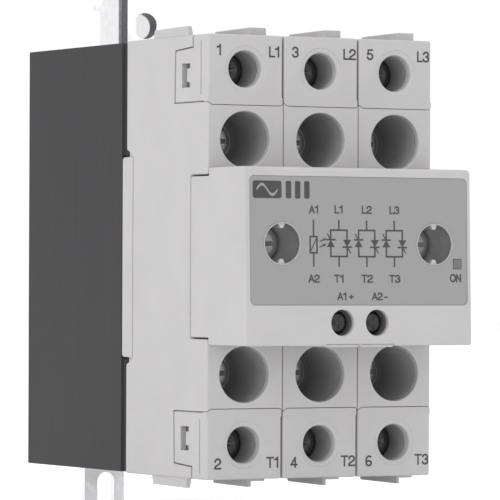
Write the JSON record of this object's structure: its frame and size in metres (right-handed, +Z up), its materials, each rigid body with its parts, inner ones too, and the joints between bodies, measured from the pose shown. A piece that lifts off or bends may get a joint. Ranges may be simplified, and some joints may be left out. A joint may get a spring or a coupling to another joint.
{
  "type": "solid state relay",
  "caption": "Multi-pole solid state relay on a finned heat sink, with a raised control module, box-clamp terminals under lift-off covers, and a sprung latch for a mounting rail.",
  "frame": {"origin": "centre of the mounting rail's front face, at the heat sink's back and at the housing's mid height", "axes": "+X to the right seen from the front, across the poles; +Y into the rail and the panel; +Z up, line terminals at the top"},
  "size_m": [0.0538, 0.1071, 0.1146],
  "materials": {
    "light_plastic": "fine moulded texture",
    "grey_plastic": "moulded",
    "label": "satin film",
    "anodised": "dark satin anodised",
    "zinc_steel": "bright zinc plated",
    "tinned_copper": "tinned",
    "ceramic": "fired",
    "epoxy": "moulded",
    "board": "solder mask",
    "lens": "smoked, polished"
  },
  "bodies": {
    "base": {"bracket_screw_1": "zinc_steel", "bracket_screw_2": "zinc_steel", "busbar_l1": "tinned_copper", "busbar_l2": "tinned_copper", "busbar_l3": "tinned_copper", "busbar_t1": "tinned_copper", "busbar_t2": "tinned_copper", "busbar_t3": "tinned_copper", "control_base": "grey_plastic", "control_board": "board", "control_contact_1": "tinned_copper", "control_contact_2": "tinned_copper", "control_housing": "light_plastic", "fixing_screw_l1": "zinc_steel", "fixing_screw_l2": "zinc_steel", "fixing_screw_l3": "zinc_steel", "fixing_screw_t1": "zinc_steel", "fixing_screw_t2": "zinc_steel", "fixing_screw_t3": "zinc_steel", "heat_sink": "anodised", "housing_shell": "light_plastic", "label_panel": "label", "latch_spring": "zinc_steel", "led_light_pipe": "lens", "module_screw_1": "zinc_steel", "module_screw_2": "zinc_steel", "pole_base_1": "grey_plastic", "pole_base_2": "grey_plastic", "pole_base_3": "grey_plastic", "power_substrate_1": "ceramic", "power_substrate_2": "ceramic", "power_substrate_3": "ceramic", "rail_bracket": "zinc_steel", "thyristor_pair_1": "epoxy", "thyristor_pair_2": "epoxy", "thyristor_pair_3": "epoxy"},
    "cover_l1": {"terminal_cover_l1": "light_plastic"},
    "screw_l1": {"clamp_screw_l1": "zinc_steel"},
    "cage_l1": {"clamp_cage_l1": "zinc_steel"},
    "cover_t1": {"terminal_cover_t1": "light_plastic"},
    "screw_t1": {"clamp_screw_t1": "zinc_steel"},
    "cage_t1": {"clamp_cage_t1": "zinc_steel"},
    "cover_l2": {"terminal_cover_l2": "light_plastic"},
    "screw_l2": {"clamp_screw_l2": "zinc_steel"},
    "cage_l2": {"clamp_cage_l2": "zinc_steel"},
    "cover_t2": {"terminal_cover_t2": "light_plastic"},
    "screw_t2": {"clamp_screw_t2": "zinc_steel"},
    "cage_t2": {"clamp_cage_t2": "zinc_steel"},
    "cover_l3": {"terminal_cover_l3": "light_plastic"},
    "screw_l3": {"clamp_screw_l3": "zinc_steel"},
    "cage_l3": {"clamp_cage_l3": "zinc_steel"},
    "cover_t3": {"terminal_cover_t3": "light_plastic"},
    "screw_t3": {"clamp_screw_t3": "zinc_steel"},
    "cage_t3": {"clamp_cage_t3": "zinc_steel"},
    "control_screw_1": {"control_screw_1": "zinc_steel"},
    "control_cage_1": {"control_cage_1": "zinc_steel"},
    "control_screw_2": {"control_screw_2": "zinc_steel"},
    "control_cage_2": {"control_cage_2": "zinc_steel"},
    "rail_latch": {"rail_latch": "zinc_steel"}
  },
  "joints": [
    {"name": "cover_l1_lift", "type": "slide", "parent": "base", "child": "cover_l1", "axis": [0, -1, 0], "range_m": [0, 0.024]},
    {"name": "screw_l1_turn", "type": "hinge", "parent": "base", "child": "screw_l1", "pos_m": [-0.018, -0.0764, 0.0387], "axis": [0, 1, 0], "range_deg": [0, 2080]},
    {"name": "cage_l1_rise", "type": "slide", "parent": "base", "child": "cage_l1", "axis": [0, -1, 0], "range_m": [0, 0.0046]},
    {"name": "cover_t1_lift", "type": "slide", "parent": "base", "child": "cover_t1", "axis": [0, -1, 0], "range_m": [0, 0.024]},
    {"name": "screw_t1_turn", "type": "hinge", "parent": "base", "child": "screw_t1", "pos_m": [-0.018, -0.0764, -0.0387], "axis": [0, 1, 0], "range_deg": [0, 2080]},
    {"name": "cage_t1_rise", "type": "slide", "parent": "base", "child": "cage_t1", "axis": [0, -1, 0], "range_m": [0, 0.0046]},
    {"name": "cover_l2_lift", "type": "slide", "parent": "base", "child": "cover_l2", "axis": [0, -1, 0], "range_m": [0, 0.024]},
    {"name": "screw_l2_turn", "type": "hinge", "parent": "base", "child": "screw_l2", "pos_m": [0, -0.0764, 0.0387], "axis": [0, 1, 0], "range_deg": [0, 2080]},
    {"name": "cage_l2_rise", "type": "slide", "parent": "base", "child": "cage_l2", "axis": [0, -1, 0], "range_m": [0, 0.0046]},
    {"name": "cover_t2_lift", "type": "slide", "parent": "base", "child": "cover_t2", "axis": [0, -1, 0], "range_m": [0, 0.024]},
    {"name": "screw_t2_turn", "type": "hinge", "parent": "base", "child": "screw_t2", "pos_m": [0, -0.0764, -0.0387], "axis": [0, 1, 0], "range_deg": [0, 2080]},
    {"name": "cage_t2_rise", "type": "slide", "parent": "base", "child": "cage_t2", "axis": [0, -1, 0], "range_m": [0, 0.0046]},
    {"name": "cover_l3_lift", "type": "slide", "parent": "base", "child": "cover_l3", "axis": [0, -1, 0], "range_m": [0, 0.024]},
    {"name": "screw_l3_turn", "type": "hinge", "parent": "base", "child": "screw_l3", "pos_m": [0.018, -0.0764, 0.0387], "axis": [0, 1, 0], "range_deg": [0, 2080]},
    {"name": "cage_l3_rise", "type": "slide", "parent": "base", "child": "cage_l3", "axis": [0, -1, 0], "range_m": [0, 0.0046]},
    {"name": "cover_t3_lift", "type": "slide", "parent": "base", "child": "cover_t3", "axis": [0, -1, 0], "range_m": [0, 0.024]},
    {"name": "screw_t3_turn", "type": "hinge", "parent": "base", "child": "screw_t3", "pos_m": [0.018, -0.0764, -0.0387], "axis": [0, 1, 0], "range_deg": [0, 2080]},
    {"name": "cage_t3_rise", "type": "slide", "parent": "base", "child": "cage_t3", "axis": [0, -1, 0], "range_m": [0, 0.0046]},
    {"name": "control_screw_1_turn", "type": "hinge", "parent": "base", "child": "control_screw_1", "pos_m": [-0.0041, -0.097, -0.0134], "axis": [0, 1, 0], "range_deg": [0, 1810]},
    {"name": "control_cage_1_rise", "type": "slide", "parent": "base", "child": "control_cage_1", "axis": [0, -1, 0], "range_m": [0, 0.0025]},
    {"name": "control_screw_2_turn", "type": "hinge", "parent": "base", "child": "control_screw_2", "pos_m": [0.0041, -0.097, -0.0134], "axis": [0, 1, 0], "range_deg": [0, 1810]},
    {"name": "control_cage_2_rise", "type": "slide", "parent": "base", "child": "control_cage_2", "axis": [0, -1, 0], "range_m": [0, 0.0025]},
    {"name": "rail_latch_pull", "type": "slide", "parent": "base", "child": "rail_latch", "axis": [0, 0, -1], "range_m": [0, 0.003], "stiffness_N_per_m": 900, "springref_m": -0.004, "deforming": ["latch_spring"]}
  ],
  "couplings": [
    {"joint": "screw_l1_turn", "follows": "cage_l1_rise", "rad_per_m": 7854},
    {"joint": "screw_t1_turn", "follows": "cage_t1_rise", "rad_per_m": 7854},
    {"joint": "screw_l2_turn", "follows": "cage_l2_rise", "rad_per_m": 7854},
    {"joint": "screw_t2_turn", "follows": "cage_t2_rise", "rad_per_m": 7854},
    {"joint": "screw_l3_turn", "follows": "cage_l3_rise", "rad_per_m": 7854},
    {"joint": "screw_t3_turn", "follows": "cage_t3_rise", "rad_per_m": 7854},
    {"joint": "control_screw_1_turn", "follows": "control_cage_1_rise", "rad_per_m": 12566},
    {"joint": "control_screw_2_turn", "follows": "control_cage_2_rise", "rad_per_m": 12566}
  ]
}
